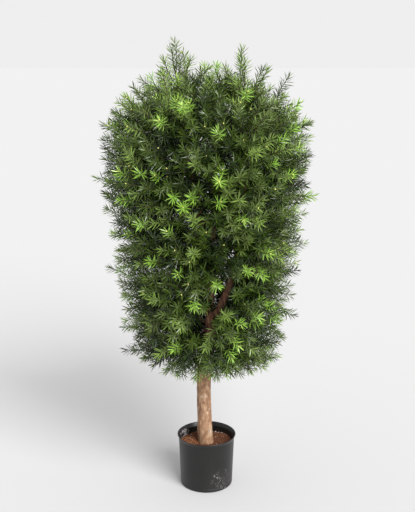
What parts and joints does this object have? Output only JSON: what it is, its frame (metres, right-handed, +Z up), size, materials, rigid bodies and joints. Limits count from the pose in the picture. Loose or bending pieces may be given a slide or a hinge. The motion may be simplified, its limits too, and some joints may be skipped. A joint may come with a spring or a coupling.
{
  "type": "potted artificial yew",
  "caption": "Artificial yew with a dense barrel-shaped crown of needle sprays on a short bare trunk that forks inside the crown, set in a plain round pot.",
  "frame": {"origin": "centre of the pot's flat underside", "axes": "+Z up, -Y towards the viewer of the picture, +X to the viewer's right"},
  "size_m": [0.6078, 0.5871, 1.2993],
  "materials": {
    "pot": "satin black moulded plastic",
    "filling": "reddish brown crumbs set in a cast filling",
    "trunk": "pale mottled natural wood",
    "bough": "reddish brown bark",
    "needles_dark": "soft dark green needles",
    "needles_mid": "soft green needles",
    "needles_light": "soft light green needles"
  },
  "bodies": {
    "root": {"pot": "pot", "filling": "filling", "trunk": "trunk", "bough_left": "bough", "bough_right": "bough", "bough_back": "bough", "foliage_1_1": "needles_dark", "foliage_1_2": "needles_mid", "foliage_1_3": "needles_light", "foliage_1_4": "needles_dark", "foliage_1_5": "needles_mid", "foliage_2_1": "needles_light", "foliage_2_2": "needles_dark", "foliage_2_3": "needles_mid", "foliage_2_4": "needles_light", "foliage_2_5": "needles_dark", "foliage_2_6": "needles_mid", "foliage_3_1": "needles_light", "foliage_3_2": "needles_dark", "foliage_3_3": "needles_mid", "foliage_3_4": "needles_light", "foliage_3_5": "needles_dark", "foliage_3_6": "needles_mid", "foliage_4_1": "needles_light", "foliage_4_2": "needles_dark", "foliage_4_3": "needles_mid", "foliage_4_4": "needles_light", "foliage_4_5": "needles_dark", "foliage_4_6": "needles_mid", "foliage_5_1": "needles_light", "foliage_5_2": "needles_dark", "foliage_5_3": "needles_mid", "foliage_5_4": "needles_light", "foliage_5_5": "needles_dark", "foliage_6_1": "needles_mid", "leader_left": "needles_light", "leader_right": "needles_dark", "leader_back": "needles_mid"}
  },
  "joints": []
}
